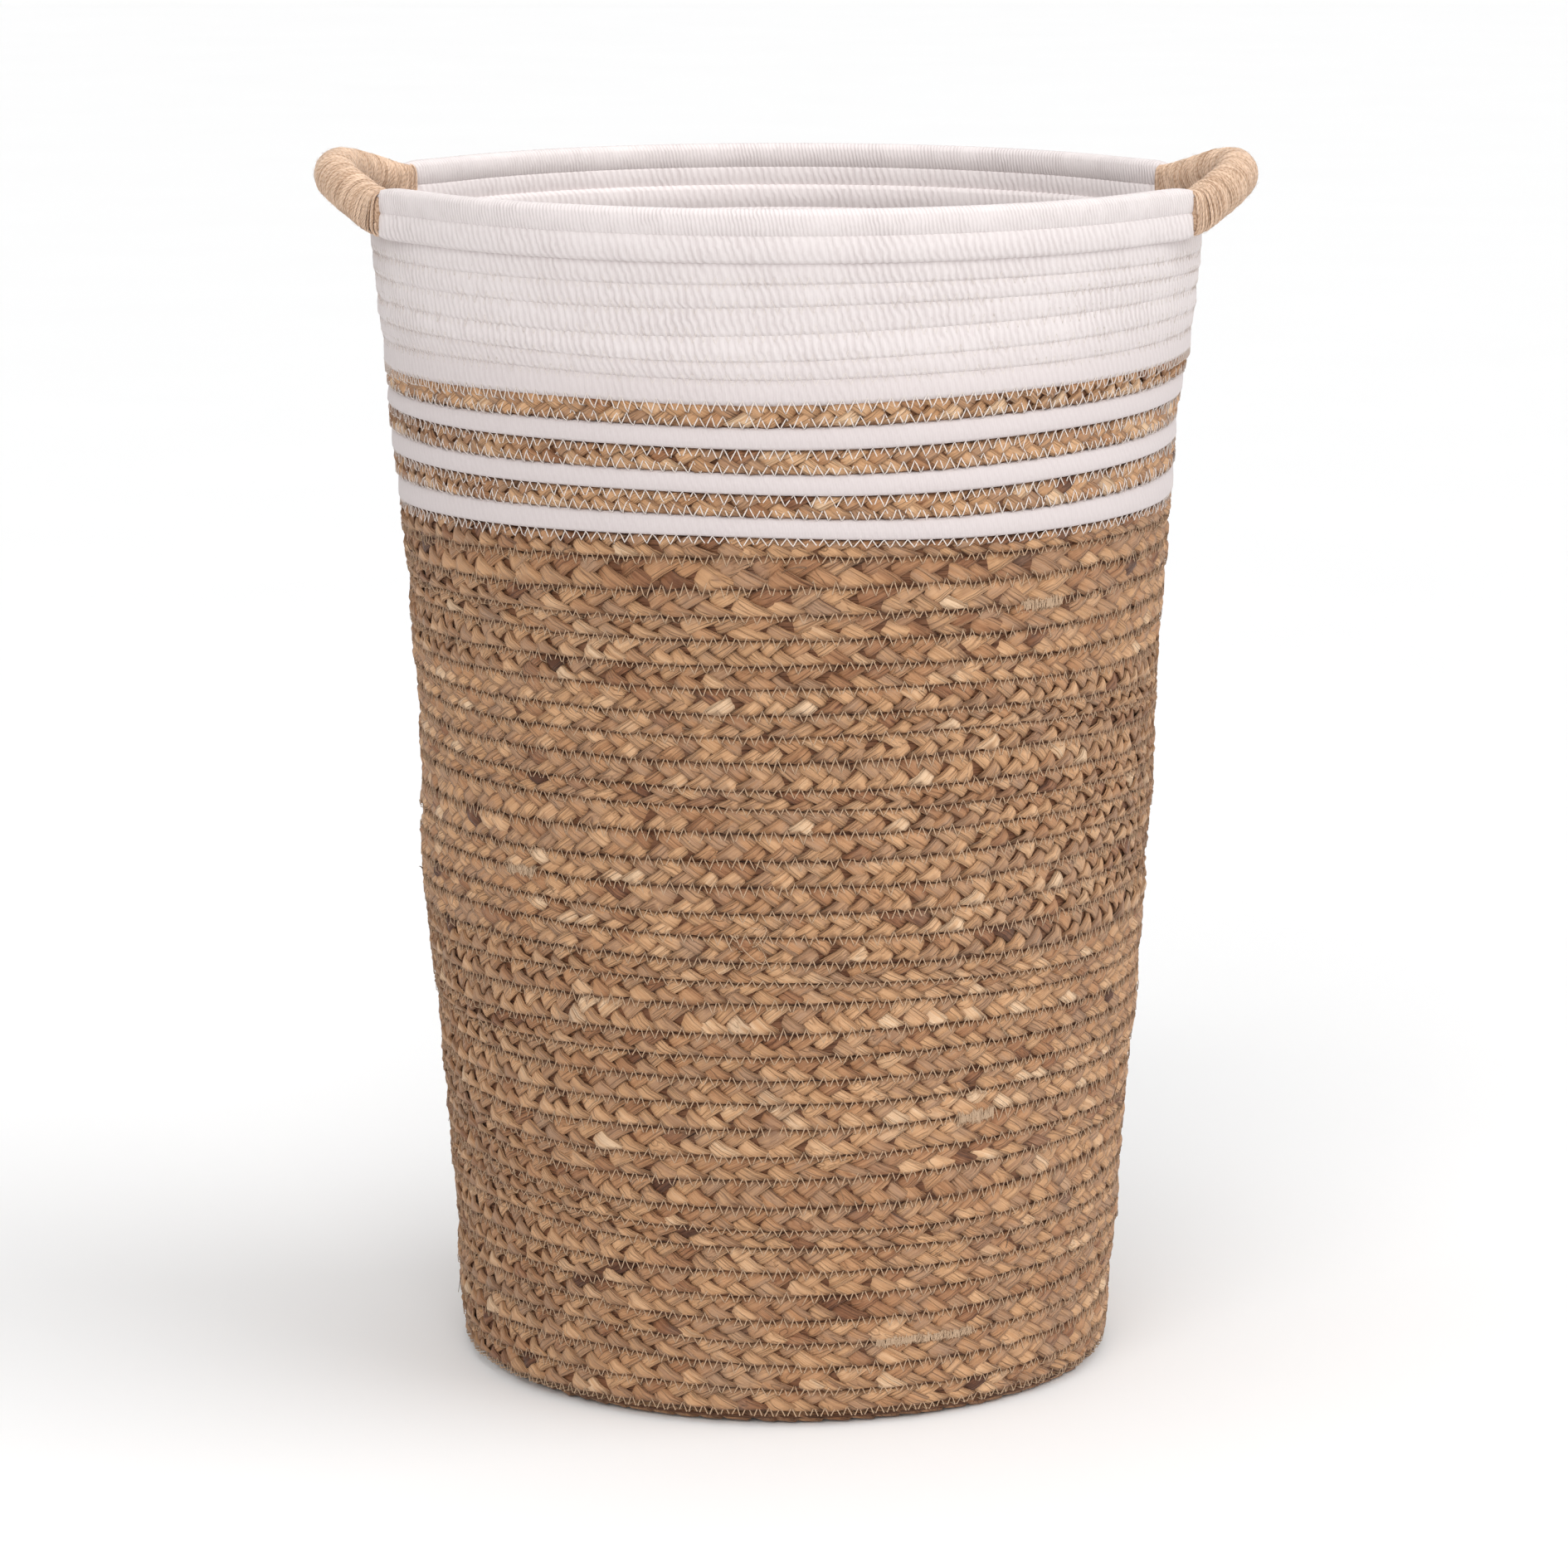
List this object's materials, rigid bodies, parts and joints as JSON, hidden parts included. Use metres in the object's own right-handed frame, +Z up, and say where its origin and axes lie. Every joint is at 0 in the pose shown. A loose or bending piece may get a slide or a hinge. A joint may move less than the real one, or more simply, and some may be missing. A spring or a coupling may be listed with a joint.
{
  "type": "laundry basket",
  "caption": "Tall tapered round laundry basket of coiled plant-fibre plait, with a white rope top, narrow white stripes and rope loop handles wrapped in twine.",
  "frame": {"origin": "centre of the underside, on the floor", "axes": "+Z up along the basket's own axis; the loop handles stand out along +X and -X"},
  "size_m": [0.4472, 0.4006, 0.5831],
  "materials": {
    "hyacinth_plait": "dry plaited water hyacinth, mixed tan, straw and brown, with a faint natural sheen",
    "cotton_rope": "matt off-white braided cotton rope",
    "jute_twine": "matt fibrous jute twine, closely wound"
  },
  "bodies": {
    "basket": {"base_braid": "hyacinth_plait", "rim_rope_lower_back": "cotton_rope", "rim_rope_lower_front": "cotton_rope", "rim_rope_upper_back": "cotton_rope", "rim_rope_upper_front": "cotton_rope", "stripe_braid_1": "hyacinth_plait", "stripe_braid_2": "hyacinth_plait", "stripe_braid_3": "hyacinth_plait", "stripe_rope_1": "cotton_rope", "stripe_rope_2": "cotton_rope", "stripe_rope_3": "cotton_rope", "top_rope_1": "cotton_rope", "top_rope_2": "cotton_rope", "top_rope_3": "cotton_rope", "top_rope_4": "cotton_rope", "top_rope_5": "cotton_rope", "top_rope_6": "cotton_rope", "wall_braid_01": "hyacinth_plait", "wall_braid_02": "hyacinth_plait", "wall_braid_03": "hyacinth_plait", "wall_braid_04": "hyacinth_plait", "wall_braid_05": "hyacinth_plait", "wall_braid_06": "hyacinth_plait", "wall_braid_07": "hyacinth_plait", "wall_braid_08": "hyacinth_plait", "wall_braid_09": "hyacinth_plait", "wall_braid_10": "hyacinth_plait", "wall_braid_11": "hyacinth_plait", "wall_braid_12": "hyacinth_plait", "wall_braid_13": "hyacinth_plait", "wall_braid_14": "hyacinth_plait", "wall_braid_15": "hyacinth_plait", "wall_braid_16": "hyacinth_plait", "wall_braid_17": "hyacinth_plait", "wall_braid_18": "hyacinth_plait", "wall_braid_19": "hyacinth_plait", "wall_braid_20": "hyacinth_plait", "wall_braid_21": "hyacinth_plait", "wall_braid_22": "hyacinth_plait", "wall_braid_23": "hyacinth_plait", "wall_braid_24": "hyacinth_plait", "wall_braid_25": "hyacinth_plait", "wall_braid_26": "hyacinth_plait", "wall_braid_27": "hyacinth_plait", "wall_braid_28": "hyacinth_plait", "wall_braid_29": "hyacinth_plait", "wall_braid_30": "hyacinth_plait", "wall_braid_31": "hyacinth_plait", "wall_braid_32": "hyacinth_plait", "wall_braid_33": "hyacinth_plait", "wall_braid_34": "hyacinth_plait", "wall_braid_35": "hyacinth_plait", "wall_braid_36": "hyacinth_plait"},
    "handle_left": {"handle_left_rope_lower": "cotton_rope", "handle_left_rope_upper": "cotton_rope", "handle_left_wrap": "jute_twine"},
    "handle_right": {"handle_right_rope_lower": "cotton_rope", "handle_right_rope_upper": "cotton_rope", "handle_right_wrap": "jute_twine"}
  },
  "joints": [
    {"name": "handle_left_flex", "type": "hinge", "parent": "basket", "child": "handle_left", "pos_m": [-0.1885, 0, 0.55972], "axis": [0, 1, 0], "range_deg": [-25, 60], "stiffness_Nm_per_rad": 0.6},
    {"name": "handle_right_flex", "type": "hinge", "parent": "basket", "child": "handle_right", "pos_m": [0.1885, 0, 0.55972], "axis": [0, -1, 0], "range_deg": [-25, 60], "stiffness_Nm_per_rad": 0.6}
  ]
}
